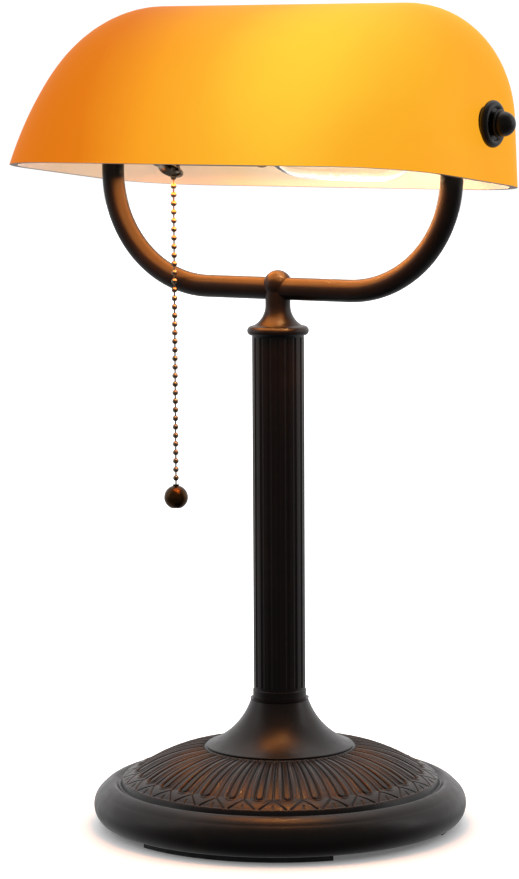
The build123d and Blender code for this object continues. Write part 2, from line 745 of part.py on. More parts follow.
def pull_ball():
    body = Sphere(PULL_BALL_R) & block(-9, 9, -9, 9, -PULL_BALL_R + 0.7, PULL_BALL_R)
    body += rod_z(1.6, PULL_BALL_R - 0.6, PULL_BALL_R + 0.5)
    body -= rod_z(LINK_R + 0.05, 2.0, 9.0)
    return Pos(BELL_X, chain_y(), PULL_BALL_Z) * body


# ---------------------------------------------------------------- internal lead
def lamp_lead():
    """Twin lead from the clamp, up the rod, round the yoke's left arm to the switch."""
    a = -YOKE_HALF_SPAN
    points = [
        (0, 70, CORD_Z), (0, 0, CORD_Z), (0, 0, YOKE_Z), (a, 0, YOKE_Z), (a, 0, HOLDER_Z),
        (SWITCH_X0, 0, HOLDER_Z),
    ]
    path = FilletPolyline(*points, radius=[8.0, 6.0, YOKE_BEND_R, 6.0])
    start = Plane(origin=points[0], z_dir=(0, -1, 0))
    return sweep(start * Circle(LEAD_R), path=path)


# ---------------------------------------------------------------- write the pieces
def main():
    save("base_plate", base_plate())
    save("base_weight", base_weight())
    save("base_cover", base_cover())
    save("base_feet", base_feet())
    save("cover_screws", cover_screws())
    save("cord_bushing", cord_bushing())
    save("cord_clamp", cord_clamp())
    save("rod_washer", rod_washer())
    save("rod_nut", rod_nut())
    save("threaded_rod", threaded_rod())
    save("cone_foot", cone_foot())
    save("column_tube", column_tube())
    save("column_collar", column_collar())
    save("neck_knuckle", neck_knuckle())
    save("neck_set_screw", neck_set_screw())
    save("yoke_tube", yoke_tube())
    save("lamp_lead", lamp_lead())

    fitting = pivot_fitting()
    save("pivot_fitting_right", fitting)
    left = mirrored(fitting) - rod_x(5.0 + FIT, -98.0, -80.0, HOLDER_Z)
    save("pivot_fitting_left", left)
    at_pivot = Pos(0, 0, PIVOT_Z)
    stud = at_pivot * pivot_stud()
    save("pivot_stud_right", stud)
    save("pivot_stud_left", mirrored(stud))
    nut = at_pivot * stud_locknut()
    save("stud_locknuts", Compound(children=[nut, mirrored(nut)]))
    washer = at_pivot * stud_washer()
    save("stud_washers", Compound(children=[washer, mirrored(washer)]))
    turning_knob = at_pivot * knob()
    save("knob_right", turning_knob)
    save("knob_left", mirrored(turning_knob))

    glass, inner_gasket, outer_gasket = shade_parts()
    save("shade_glass", on_shade(glass))
    inner_pair = [on_shade(inner_gasket), on_shade(mirrored(inner_gasket))]
    outer_pair = [on_shade(outer_gasket), on_shade(mirrored(outer_gasket))]
    save("inner_gaskets", Compound(children=inner_pair))
    save("outer_gaskets", Compound(children=outer_pair))
    cup = at_pivot * end_washer()
    save("end_washer_right", cup)
    save("end_washer_left", mirrored(cup))

    save("holder_nipple", Pos(0, 0, HOLDER_Z) * holder_nipple())
    save("holder_cap", on_holder(holder_cap()))
    save("cap_set_screw", on_holder(cap_set_screw()))
    save("holder_shell", on_holder(holder_shell()))
    save("holder_liner", on_holder(holder_liner()))
    save("switch_body", on_holder(switch_body()))
    save("terminal_screws", on_holder(terminal_screws()))
    save("cam_pin", on_holder(cam_pin()))
    save("switch_cam", on_holder(switch_cam()))
    save("pull_arm", on_holder(pull_arm()))
    save("return_spring", on_holder(return_spring()))
    save("bell_mouth", on_holder(bell_mouth()))
    save("screw_shell", on_holder(screw_shell()))
    save("shell_seat", on_holder(shell_seat()))
    save("centre_contact", on_holder(centre_contact()))

    at_holder = Pos(0, 0, HOLDER_Z)
    save("bulb_base", at_holder * bulb_base())
    save("bulb_insulator", at_holder * bulb_insulator())
    save("bulb_contact", at_holder * bulb_contact())
    save("bulb_glass", at_holder * bulb_glass())
    save("bulb_stem", at_holder * bulb_stem())
    save("bulb_filaments", at_holder * bulb_filaments())
    save("bulb_wires", at_holder * bulb_wires())
    save("pull_chain", pull_chain())
    save("pull_ball", pull_ball())


main()
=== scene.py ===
import json
import math

import bmesh
import bpy
import numpy as np
from mathutils import Matrix, Vector


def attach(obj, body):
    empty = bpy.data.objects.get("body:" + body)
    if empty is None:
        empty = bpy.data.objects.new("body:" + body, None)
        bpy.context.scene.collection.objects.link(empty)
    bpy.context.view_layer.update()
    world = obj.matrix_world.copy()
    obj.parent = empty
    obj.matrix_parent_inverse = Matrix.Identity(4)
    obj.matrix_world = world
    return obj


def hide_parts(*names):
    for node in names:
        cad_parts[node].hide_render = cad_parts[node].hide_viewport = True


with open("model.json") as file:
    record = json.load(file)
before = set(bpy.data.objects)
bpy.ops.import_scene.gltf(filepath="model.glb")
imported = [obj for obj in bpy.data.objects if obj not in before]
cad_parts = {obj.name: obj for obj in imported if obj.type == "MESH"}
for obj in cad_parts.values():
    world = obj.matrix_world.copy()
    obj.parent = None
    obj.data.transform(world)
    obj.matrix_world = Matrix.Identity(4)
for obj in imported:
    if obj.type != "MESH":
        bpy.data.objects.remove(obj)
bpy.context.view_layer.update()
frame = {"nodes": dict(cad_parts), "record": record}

NODES = frame["nodes"]
MM = 0.001


# ---------------------------------------------------------------- node helpers
class Graph:
    """A small wrapper that builds a material's node tree."""

    def __init__(self, name):
        self.mat = bpy.data.materials.new(name)
        self.mat.use_nodes = True
        self.tree = self.mat.node_tree
        self.shader = self.tree.nodes["Principled BSDF"]
        self.out = self.tree.nodes["Material Output"]
        self.coord = self.tree.nodes.new("ShaderNodeTexCoord").outputs["Object"]

    def node(self, kind, **values):
        made = self.tree.nodes.new(kind)
        for key, value in values.items():
            setattr(made, key, value)
        return made

    def link(self, a, b):
        self.tree.links.new(a, b)

    def set(self, **values):
        for key, value in values.items():
            self.shader.inputs[key.replace("_", " ")].default_value = value

    def scaled(self, x, y, z):
        mapping = self.node("ShaderNodeMapping")
        mapping.inputs["Scale"].default_value = (x, y, z)
        self.link(self.coord, mapping.inputs["Vector"])
        return mapping.outputs["Vector"]

    def noise(self, scale, detail=4.0, rough=0.55, vector=None):
        made = self.node("ShaderNodeTexNoise")
        made.inputs["Scale"].default_value = scale
        made.inputs["Detail"].default_value = detail
        made.inputs["Roughness"].default_value = rough
        self.link(vector or self.coord, made.inputs["Vector"])
        return made.outputs["Fac"]

    def ramp(self, fac, *stops):
        made = self.node("ShaderNodeValToRGB")
        marks = made.color_ramp.elements
        while len(marks) < len(stops):
            marks.new(0.5)
        for mark, (place, colour) in zip(marks, stops):
            mark.position = place
            mark.color = (*colour, 1.0)
        self.link(fac, made.inputs["Fac"])
        return made.outputs["Color"]

    def range(self, value, a0, a1, b0, b1, smooth=False):
        made = self.node("ShaderNodeMapRange")
        if smooth:
            made.interpolation_type = "SMOOTHSTEP"
        for key, number in zip(("From Min", "From Max", "To Min", "To Max"), (a0, a1, b0, b1)):
            made.inputs[key].default_value = number
        self.link(value, made.inputs["Value"])
        return made.outputs["Result"]

    def mix(self, fac, a, b, mode="MIX"):
        made = self.node("ShaderNodeMix", data_type="RGBA", blend_type=mode)
        for socket, value in ((made.inputs[0], fac), (made.inputs[6], a), (made.inputs[7], b)):
            if isinstance(value, (int, float)):
                socket.default_value = value
            elif isinstance(value, tuple):
                socket.default_value = (*value, 1.0)
            else:
                self.link(value, socket)
        return made.outputs[2]

    def math(self, operation, a, b=None):
        made = self.node("ShaderNodeMath", operation=operation)
        for socket, value in zip(made.inputs, (a, b)):
            if isinstance(value, (int, float)):
                socket.default_value = value
            elif value is not None:
                self.link(value, socket)
        return made.outputs[0]

    def attribute(self, name):
        return self.node("ShaderNodeAttribute", attribute_name=name).outputs["Fac"]

    def bump(self, height, distance, strength=1.0):
        made = self.node("ShaderNodeBump")
        made.inputs["Strength"].default_value = strength
        made.inputs["Distance"].default_value = distance
        self.link(height, made.inputs["Height"])
        self.link(made.outputs["Normal"], self.shader.inputs["Normal"])


def bronze(name, groove=None):
    """Dark sprayed bronze: satin near-black brown with a warm, uneven patina. Given a groove
    attribute, the grooves get painted shade and raised parts a warm brown that is partly rubbed wear,
    partly painted sheen.
    """
    g = Graph(name)
    cloud = g.noise(38.0, 5.0)
    grain = g.noise(900.0, 3.0, 0.6)
    colour = g.ramp(cloud, (0.30, (0.0062, 0.0048, 0.0042)), (0.58, (0.0090, 0.0066, 0.0053)),
                    (0.80, (0.0190, 0.0108, 0.0068)))
    if groove:
        # painted shade: the grooves named by the attribute are darkened in colour
        groove_shade = g.range(g.attribute(groove), 0.0, 1.0, 0.0, 1.0, smooth=True)
        colour = g.mix(groove_shade, (0.0028, 0.0023, 0.0021), colour)
        # raised parts turn warm brown: partly rubbed wear, partly painted sheen
        edge = g.range(g.attribute("wear_and_sheen"), 0.25, 1.0, 0.0, 0.55)
        edge = g.math("MULTIPLY", edge, g.range(cloud, 0.3, 0.7, 0.5, 1.0))
        colour = g.mix(edge, colour, (0.056, 0.024, 0.011))
    g.link(colour, g.shader.inputs["Base Color"])
    g.link(g.range(g.noise(160.0, 4.0), 0.3, 0.7, 0.31, 0.40), g.shader.inputs["Roughness"])
    g.set(Metallic=0.20, Specular_IOR_Level=0.25)
    g.bump(grain, 0.00004, 0.35)
    return g.mat


def brass(name, low, high, rough, tarnish):
    """Brass with tarnish clouds, fine handling marks and slightly uneven gloss."""
    g = Graph(name)
    cloud = g.noise(85.0, 5.0)
    colour = g.ramp(cloud, (0.30, low), (0.70, high))
    spots = g.range(g.noise(420.0, 3.0), 0.52, 0.72, 0.0, tarnish)
    g.link(g.mix(spots, colour, (0.05, 0.032, 0.016)), g.shader.inputs["Base Color"])
    g.link(g.range(cloud, 0.3, 0.7, rough, rough + 0.14), g.shader.inputs["Roughness"])
    g.set(Metallic=1.0)
    g.bump(g.noise(1400.0, 2.0), 0.00003, 0.4)
    return g.mat


def steel(name, tint, rough):
    g = Graph(name)
    streak = g.noise(30.0, 6.0, 0.6, g.scaled(1.0, 1.0, 40.0))
    g.link(g.ramp(streak, (0.3, tuple(c * 0.72 for c in tint)), (0.7, tint)),
           g.shader.inputs["Base Color"])
    g.link(g.range(streak, 0.3, 0.7, rough, rough + 0.15), g.shader.inputs["Roughness"])
    g.set(Metallic=1.0)
    g.bump(streak, 0.00004, 0.4)
    return g.mat


def moulded(name, tint, rough, grain=700.0, depth=0.00006):
    """Moulded or cast matt stuff: rubber, phenolic, paper and painted sheet."""
    g = Graph(name)
    cloud = g.noise(60.0, 4.0)
    dark = tuple(c * 0.7 for c in tint)
    g.link(g.ramp(cloud, (0.3, dark), (0.7, tint)), g.shader.inputs["Base Color"])
    g.link(g.range(g.noise(240.0), 0.3, 0.7, rough, min(1.0, rough + 0.15)),
           g.shader.inputs["Roughness"])
    g.bump(g.noise(grain, 3.0), depth, 0.6)
    return g.mat


def clear_glass(name, tint, rough=0.02):
    g = Graph(name)
    g.set(Base_Color=(*tint, 1.0), Transmission_Weight=1.0, IOR=1.46, Roughness=rough)
    g.link(g.range(g.noise(55.0, 2.0), 0.3, 0.7, rough, rough + 0.03),
           g.shader.inputs["Roughness"])
    g.bump(g.noise(40.0, 2.0), 0.00002, 0.5)
    return g.mat


def glow(name, colour, strength):
    g = Graph(name)
    grain = g.noise(1500.0, 2.0)
    g.set(Base_Color=(0.9, 0.6, 0.2, 1.0), Roughness=0.7)
    g.set(Emission_Color=(*colour, 1.0))
    g.link(g.range(grain, 0.3, 0.7, strength * 0.85, strength * 1.1),
           g.shader.inputs["Emission Strength"])
    return g.mat


BULB_CENTRE = (0.028, 0.0, 0.349)


def lamp_distance(g):
    """Distance from the lit bulb in metres, drawn out along the bulb."""
    along = 0.62
    mapping = g.node("ShaderNodeMapping")
    mapping.inputs["Location"].default_value = (
        -BULB_CENTRE[0] * along, -BULB_CENTRE[1], -BULB_CENTRE[2])
    mapping.inputs["Scale"].default_value = (along, 1.0, 1.0)
    g.link(g.coord, mapping.inputs["Vector"])
    length = g.node("ShaderNodeVectorMath", operation="LENGTH")
    g.link(mapping.outputs["Vector"], length.inputs[0])
    return length.outputs["Value"]


def amber_case(name):
    """Outer amber layer of the cased glass, satin and lit through from inside."""
    g = Graph(name)
    split = g.node("ShaderNodeSeparateXYZ")
    g.link(g.coord, split.inputs[0])
    join = g.node("ShaderNodeCombineXYZ")
    g.link(g.math("SUBTRACT", split.outputs[0], 0.050), join.inputs[0])
    depth = g.math("ADD", g.math("MULTIPLY", split.outputs[1], split.outputs[1]), 0.0004)
    g.link(g.math("SUBTRACT", g.math("SQRT", depth), 0.042), join.inputs[1])
    g.link(g.math("MULTIPLY", g.math("SUBTRACT", split.outputs[2], 0.350), 0.5), join.inputs[2])
    length = g.node("ShaderNodeVectorMath", operation="LENGTH")
    g.link(join.outputs[0], length.inputs[0])
    lit = g.range(length.outputs["Value"], 0.026, 0.142, 0.0, 1.0)
    lit = g.math("ADD", lit, g.range(g.noise(24.0, 3.0), 0.3, 0.7, -0.02, 0.02))
    colour = g.ramp(lit, (0.0, (1.0, 0.66, 0.042)), (0.16, (1.0, 0.56, 0.036)),
                    (0.30, (0.98, 0.45, 0.024)), (0.52, (0.96, 0.37, 0.016)),
                    (0.64, (0.89, 0.30, 0.013)), (0.82, (0.78, 0.205, 0.006)),
                    (1.0, (0.75, 0.19, 0.007)))
    g.link(g.mix(1.0, colour, (0.08, 0.04, 0.03), "MULTIPLY"), g.shader.inputs["Base Color"])
    g.link(colour, g.shader.inputs["Emission Color"])
    g.set(Roughness=0.50, IOR=1.5, Specular_IOR_Level=0.02, Emission_Strength=0.97)
    g.bump(g.noise(30.0, 2.0), 0.00015, 0.25)
    return g.mat


def opal_lining(name):
    """White inner layer of the cased glass, bright where the bulb lights it."""
    g = Graph(name)
    near = lamp_distance(g)
    lit = g.range(near, 0.055, 0.105, 0.0, 1.0)
    colour = g.ramp(lit, (0.0, (1.0, 0.93, 0.78)), (0.5, (1.0, 0.70, 0.42)),
                    (1.0, (0.95, 0.66, 0.50)))
    g.link(g.mix(1.0, colour, (0.30, 0.30, 0.30), "MULTIPLY"), g.shader.inputs["Base Color"])
    g.link(colour, g.shader.inputs["Emission Color"])
    g.link(g.range(lit, 0.0, 1.0, 0.75, 0.62), g.shader.inputs["Emission Strength"])
    g.set(Roughness=0.30)
    g.bump(g.noise(45.0, 3.0), 0.0001, 0.2)
    return g.mat


# ---------------------------------------------------------------- mesh helpers
def mesh_object(name, verts, faces, material, smooth=True):
    mesh = bpy.data.meshes.new(name)
    mesh.from_pydata([tuple(v) for v in verts], [], faces)
    mesh.validate()
    mesh.polygons.foreach_set("use_smooth", [smooth] * len(mesh.polygons))
    made = bpy.data.objects.new(name, mesh)
    bpy.context.scene.collection.objects.link(made)
    for item in material if isinstance(material, (list, tuple)) else [material]:
        mesh.materials.append(item)
    return made


def grid_faces(rows, columns, wrap=False, base=0):
    """Quads over a rows x columns block of vertices; wrap joins the last column on."""
    faces = []
    for i in range(rows - 1):
        for j in range(columns if wrap else columns - 1):
            k = (j + 1) % columns
            faces.append((base + i * columns + j, base + i * columns + k,
                          base + (i + 1) * columns + k, base + (i + 1) * columns + j))
    return faces


def arc3(a, b, c, n):
    """n+1 points on the circle through a, b and c (2-D), from a to c."""
    (ax, ay), (bx, by), (cx, cy) = a, b, c
    d = 2 * (ax * (by - cy) + bx * (cy - ay) + cx * (ay - by))
    ux = ((ax**2 + ay**2) * (by - cy) + (bx**2 + by**2) * (cy - ay)
          + (cx**2 + cy**2) * (ay - by)) / d
    uy = ((ax**2 + ay**2) * (cx - bx) + (bx**2 + by**2) * (ax - cx)
          + (cx**2 + cy**2) * (bx - ax)) / d
    t0 = math.atan2(ay - uy, ax - ux)
    t1 = math.atan2(by - uy, bx - ux)
    t2 = math.atan2(cy - uy, cx - ux)
    r = math.hypot(ax - ux, ay - uy)
    turn = 2 * math.pi
    ccw = (t2 - t0) % turn
    if (t1 - t0) % turn > ccw:
        ccw -= turn
    return [(ux + r * math.cos(t0 + ccw * i / n), uy + r * math.sin(t0 + ccw * i / n))
            for i in range(n + 1)]


def smooth_by_angle(obj, degrees=32.0):
    """Sharp corners stay crisp while curved faces shade smoothly."""
    made = obj.modifiers.new("edges", "EDGE_SPLIT")
    made.split_angle = math.radians(degrees)
    made.use_edge_sharp = False


# ---------------------------------------------------------------- materials
METAL = bronze("dark_bronze")
CAST = bronze("dark_bronze_cast", groove="relief")
ANTIQUE = brass("antique_brass", (0.10, 0.066, 0.030), (0.22, 0.15, 0.068), 0.30, 0.75)
CHAIN = brass("chain_brass", (0.17, 0.125, 0.085), (0.32, 0.25, 0.18), 0.24, 0.5)
BELL = brass("bell_brass", (0.30, 0.24, 0.18), (0.55, 0.46, 0.36), 0.20, 0.3)
BALL = brass("ball_brass", (0.030, 0.014, 0.006), (0.075, 0.036, 0.012), 0.26, 0.6)
BRASS = brass("clean_brass", (0.55, 0.37, 0.13), (0.76, 0.54, 0.24), 0.22, 0.25)
STEEL = steel("zinc_steel", (0.55, 0.55, 0.56), 0.30)
NICKEL = steel("nickel", (0.74, 0.72, 0.69), 0.16)
IRON = moulded("cast_iron", (0.10, 0.10, 0.10), 0.65, 500.0, 0.0002)
RUBBER = moulded("black_rubber", (0.016, 0.016, 0.017), 0.70, 900.0, 0.0001)
PHENOLIC = moulded("phenolic", (0.045, 0.035, 0.028), 0.40)
PAPER = moulded("fibre_paper", (0.50, 0.44, 0.34), 0.85, 420.0, 0.0001)
SHEET = moulded("cover_sheet", (0.020, 0.020, 0.020), 0.55)
SHEATH = moulded("lead_sheath", (0.025, 0.025, 0.025), 0.45)
CLEAR = clear_glass("bulb_clear_glass", (1.0, 0.96, 0.90))
STEM = clear_glass("stem_glass", (0.96, 0.97, 0.96))
FILAMENT = glow("filament_glow", (1.0, 0.62, 0.24), 26.0)
AMBER = amber_case("amber_cased_glass")
EDGE = moulded("ground_glass_edge", (0.42, 0.24, 0.17), 0.35, 500.0, 0.00003)
OPAL = opal_lining("opal_lining")

FINISH = {
    "dark_bronze": METAL, "antique_brass": ANTIQUE, "brass": BRASS, "steel": STEEL,
    "nickel": NICKEL, "cast_iron": IRON, "rubber": RUBBER, "phenolic": PHENOLIC,
    "fibre_paper": PAPER, "cover_sheet": SHEET, "lead_sheath": SHEATH,
    "clear_glass": CLEAR, "filament": FILAMENT, "amber_glass": AMBER,
}
SLOTS = {part["node"]: part["material_slot"] for part in frame["record"]["subparts"]}
SPECIAL = {"bulb_stem": STEM, "pull_chain": CHAIN, "pull_ball": BALL, "bell_mouth": BELL}
for node_name, node in NODES.items():
    finish = SPECIAL.get(node_name, FINISH[SLOTS[node_name]])
    for place in node.material_slots:
        place.material = finish


# ---------------------------------------------------------------- cast base
SECTORS = 32
FINE = 40


def groove(distance, width):
    """1 in the middle of a groove of that width, falling smoothly to 0 beside it."""
    t = np.clip(1.0 - np.abs(distance) / (0.5 * width), 0.0, 1.0)
    return t * t * (3.0 - 2.0 * t)


def step(value, low, high):
    t = np.clip((value - low) / (high - low), 0.0, 1.0)
    return t * t * (3.0 - 2.0 * t)


def relief(r, u):
    """Height of the cast ornament in mm at radius r and place u (-0.5..0.5) in its sector."""
    arc = 2.0 * math.pi * r / SECTORS
    side = np.abs(u) * arc
    gap_side = (0.5 - np.abs(u)) * arc
    # a raised finger in a U-shaped groove, with a raised lip along the groove's outside
    half = 0.150
    centre = 72.6 - half * 2.0 * math.pi * 72.0 / SECTORS
    ring = np.hypot(side, np.maximum(r - centre, 0.0)) - half * arc
    inside = r < 75.5
    loop = groove(ring, np.clip(0.120 * arc, 1.0, 1.5)) * inside
    lip = groove(ring - np.clip(0.115 * arc, 0.9, 1.5), np.clip(0.11 * arc, 0.8, 1.3)) * inside
    # the line between two tongues, split into the two edges of the leaves on the brim
    between = groove(gap_side, 1.3) * (1.0 - step(r, 72.9, 73.8))
    t = np.clip((r - 73.0) / (80.0 - 73.0), 0.0, 1.0)
    leaf_edge = (0.5 - 0.44 * t) * arc
    edge = groove(side - leaf_edge, 1.3) * step(r, 72.9, 73.6)
    # a tick in each field between two leaves
    tick = groove(gap_side, 1.1) * step(r, 76.6, 77.8)
    total = -0.95 * loop - 0.80 * between - 0.80 * edge - 0.55 * tick - 0.45
    total += 0.42 * lip
    return total * step(r, 38.0, 39.0) * (1.0 - 0.7 * step(r, 79.6, 80.0))


def base_profile():
    """Outer section of the base as (radius, height) in mm, from the cone's seat down."""
    top = arc3((38.0, 39.8), (56.0, 36.1), (72.0, 28.2), 72)
    brim = arc3((72.0, 28.2), (76.5, 26.6), (80.0, 24.3), 30)
    drop = [(80.25, 23.5), (80.8, 22.1), (81.2, 21.05), (81.45, 20.72), (81.9, 20.78)]
    lip = arc3((83.0, 21.55), (84.2, 22.25), (85.5, 22.4), 8)
    shoulder = arc3((85.5, 22.4), (88.1, 21.2), (90.8, 18.9), 14)
    rim = arc3((90.8, 18.9), (94.6, 9.0), (91.6, 3.6), 30)
    return top[:-1] + brim + drop + [(82.4, 21.1)] + lip[:-1] + shoulder[:-1] + rim


def cast_base():
    outer = np.array(base_profile())
    inner = np.array([(89.7, 3.6), (89.7, 5.2), (92.0, 11.0), (89.8, 15.4), (83.6, 18.4), (79.3, 18.4),
                      (77.6, 22.4), (71.0, 25.6), (55.2, 33.6), (38.0, 37.2),
                      (5.3, 37.2), (5.3, 39.8)])
    count = FINE * SECTORS
    angle = np.arange(count) * 2.0 * math.pi / count
    u = ((np.arange(count) / FINE + 0.5) % 1.0) - 0.5
    tangent = np.gradient(outer, axis=0)
    normal = np.stack([-tangent[:, 1], tangent[:, 0]], axis=1)
    normal /= np.linalg.norm(normal, axis=1)[:, None]
    r2 = np.repeat(outer[:, :1], count, axis=1)
    z2 = np.repeat(outer[:, 1:], count, axis=1)
    patterned = outer[:, 0] <= 80.0
    height = np.where(patterned[:, None], relief(r2, np.repeat(u[None], len(outer), axis=0)), 0.0)
    wobble = 0.05 * np.sin(9.0 * angle + 1.3) * np.sin(0.21 * r2 + 0.4)
    height += np.where(patterned[:, None], wobble, 0.0) * (r2 > 39.0)
    r_out = r2 + height * normal[:, :1]
    z_out = z2 + height * normal[:, 1:]
    rows = np.concatenate([r_out, np.repeat(inner[:, :1], count, axis=1)])
    high = np.concatenate([z_out, np.repeat(inner[:, 1:], count, axis=1)])
    # a hair inside the frame's own outline
    rows *= 0.9985
    x = rows * np.cos(angle)[None] * MM
    y = rows * np.sin(angle)[None] * MM
    verts = np.stack([x, y, high * MM], axis=-1).reshape(-1, 3)
    total = len(rows)
    faces = grid_faces(total, count, wrap=True)
    last = (total - 1) * count
    for j in range(count):
        faces.append((last + j, last + (j + 1) % count, (j + 1) % count, j))
    made = mesh_object("base_casting", verts, faces, CAST)
    # painted shade: sunken places, and the groove row under the brim, are marked for a darker colour
    groove_shade = np.clip(1.0 + (height + 0.30) / 0.80, 0.0, 1.0)
    groove_shade = np.where(patterned[:, None], groove_shade, 1.0)
    groove_row = np.abs(outer[:, 0] - 81.3) < 1.0
    groove_shade[groove_row] = 0.25
    # raised places are marked for the warm colour: partly rubbed wear, partly painted sheen
    wear_and_sheen = np.where(patterned[:, None], np.clip(1.0 + (height + 0.30) / 0.30, 0.0, 1.0), 0.0)
    wear_and_sheen *= step(r2, 39.0, 44.0)
    pad = np.ones((len(inner), count))
    for key, values in (("relief", np.concatenate([groove_shade, pad])),
                        ("wear_and_sheen", np.concatenate([wear_and_sheen, pad * 0.0]))):
        store = made.data.attributes.new(key, "FLOAT", "POINT")
        store.data.foreach_set("value", values.reshape(-1).astype(np.float32))
    return made


base = cast_base()
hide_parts("base_plate")
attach(base, "lamp_frame")


# ---------------------------------------------------------------- shade glass
TILT = math.radians(6.25)
PIVOT_Z = 355.0
TOP, RIM, CREST_Y = 414.3, 327.3, 9.7
BACK_R, CROWN_R, FRONT_R = 52.9, 89.8, 145.0
SWEEP = math.radians(51.0)
HALF_TOP, HALF_RIM = 110.9, 119.7
CORNER_R = 41.0


def shade_section(off, inset, n):
    """Section of the shade drawn in by off + inset, from the front rim to the back rim."""
    back, crown, front = BACK_R - inset - off, CROWN_R - inset - off, FRONT_R - inset - off
    jump = FRONT_R - CROWN_R
    crown_c = (CREST_Y, TOP - CROWN_R)
    front_c = (crown_c[0] + jump * math.sin(SWEEP), crown_c[1] - jump * math.cos(SWEEP))
    back_c = (CREST_Y, TOP - BACK_R)
    start = math.asin((RIM - front_c[1]) / front)
    end = math.pi / 2.0 - SWEEP
    points = []
    for i in range(n):
        a = start + (end - start) * i / n
        points.append((front_c[0] - front * math.cos(a), front_c[1] + front * math.sin(a)))
    for i in range(n):
        a = end + (math.pi / 2.0 - end) * i / n
        points.append((crown_c[0] - crown * math.cos(a), crown_c[1] + crown * math.sin(a)))
    for i in range(n):
        a = math.pi / 2.0 * (1.0 - i / n)
        points.append((back_c[0] + back * math.cos(a), back_c[1] + back * math.sin(a)))
    for i in range(7):
        points.append((back_c[0] + back, back_c[1] + (RIM - back_c[1]) * i / 6.0))
    return np.array(points)


def shade_skin(inset, n=26):
    """Vertices of one skin of the shade as columns of sections, left end to right end."""
    slope = (HALF_RIM - HALF_TOP) / (TOP - RIM)
    draw = inset * math.sqrt(1.0 + slope**2)
    corner = CORNER_R - inset
    columns = []

    def column(side, points, pull):
        half = HALF_RIM - slope * (points[:, 1] - RIM) - draw
        return np.stack([side * (half - pull), points[:, 0], points[:, 1]], axis=1)

    flat = shade_section(corner, inset, n)
    centre = np.array([0.35 * flat[0, 0] + 0.65 * flat[-1, 0], RIM + 6.0])
    left = []
    for k in range(9):
        t = k / 8.0
        shrunk = centre + (flat - centre) * t
        shrunk[:, 1] = np.maximum(shrunk[:, 1], RIM)
        shrunk[0, 1] = RIM
        shrunk[-1, 1] = RIM
        left.append((shrunk, 0.0))
    for k in range(1, 17):
        a = math.pi / 2.0 * (1.0 - k / 16.0)
        left.append((shade_section(corner * (1.0 - math.cos(a)), inset, n),
                     corner * (1.0 - math.sin(a))))
    for points, pull in left:
        columns.append(column(-1.0, points, pull))
    for points, pull in reversed(left):
        columns.append(column(1.0, points, pull))
    return np.array(columns)


def drill(obj):
    """Cuts the two holes for the pivot studs' gaskets."""
    ring = [(math.cos(k * math.pi / 24), math.sin(k * math.pi / 24)) for k in range(48)]
    verts = [(x, 0.006 * c, PIVOT_Z * MM + 0.006 * s) for x in (-0.14, 0.14) for c, s in ring]
    faces = [(k, (k + 1) % 48, 48 + (k + 1) % 48, 48 + k) for k in range(48)]
    faces += [tuple(reversed(range(48))), tuple(range(48, 96))]
    cutter = mesh_object("cutter", verts, faces, AMBER)
    cut = obj.modifiers.new("holes", "BOOLEAN")
    cut.operation = "DIFFERENCE"
    cut.object = cutter
    cut.solver = "EXACT"
    shown = obj.evaluated_get(bpy.context.evaluated_depsgraph_get())
    drilled = bpy.data.meshes.new_from_object(shown)
    obj.modifiers.clear()
    obj.data = drilled
    bpy.data.objects.remove(cutter)


def shade():
    outer, inner = shade_skin(0.0), shade_skin(4.0)
    wide, tall = outer.shape[:2]
    verts = np.concatenate([outer.reshape(-1, 3), inner.reshape(-1, 3)])
    half = wide * tall
    shell = grid_faces(wide, tall)
    lining = [tuple(reversed(f)) for f in grid_faces(wide, tall, base=half)]
    faces = shell + lining
    kinds = [0] * len(shell) + [1] * len(lining)
    for i in range(wide - 1):
        for j in (0, tall - 1):
            a, b = i * tall + j, (i + 1) * tall + j
            quad = (a, b, b + half, a + half)
            faces.append(quad if j else tuple(reversed(quad)))
            kinds.append(2)
    verts[:, 2] -= PIVOT_Z
    c, s = math.cos(-TILT), math.sin(-TILT)
    y = verts[:, 1] * c - verts[:, 2] * s
    z = verts[:, 1] * s + verts[:, 2] * c
    verts = np.stack([verts[:, 0], y, z + PIVOT_Z], axis=1) * MM
    made = mesh_object("shade_cased_glass", verts, faces, [AMBER, OPAL, EDGE])
    made.data.polygons.foreach_set("material_index", kinds)
    tidy = bmesh.new()
    tidy.from_mesh(made.data)
    bmesh.ops.remove_doubles(tidy, verts=tidy.verts, dist=0.00002)
    bmesh.ops.recalc_face_normals(tidy, faces=tidy.faces)
    tidy.to_mesh(made.data)
    tidy.free()
    drill(made)
    smooth_by_angle(made, 40.0)
    return made


glass = shade()
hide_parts("shade_glass")
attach(glass, "shade")


# ---------------------------------------------------------------- floor, lights, camera
def floor():
    verts = [(-6.0, -6.0, 0.0), (6.0, -6.0, 0.0), (6.0, 6.0, 0.0), (-6.0, 6.0, 0.0)]
    faces = [(0, 1, 2, 3)]
    g = Graph("studio_paper")
    g.link(g.ramp(g.noise(6.0), (0.3, (0.83, 0.83, 0.84)), (0.7, (0.86, 0.86, 0.86))),
           g.shader.inputs["Base Color"])
    g.set(Roughness=0.55)
    g.set(Emission_Color=(1.0, 1.0, 1.0, 1.0))
    # painted shadow: the floor glows less near the base, drawing a contact shadow instead of casting
    # it
    place = g.node("ShaderNodeVectorMath", operation="LENGTH")
    g.link(g.coord, place.inputs[0])
    painted_shadow_glow = g.range(place.outputs["Value"], 0.085, 0.135, 0.10, 0.80)
    g.link(painted_shadow_glow, g.shader.inputs["Emission Strength"])
    made = mesh_object("studio_floor", verts, faces, g.mat)
    made.visible_glossy = False
    made.visible_diffuse = False


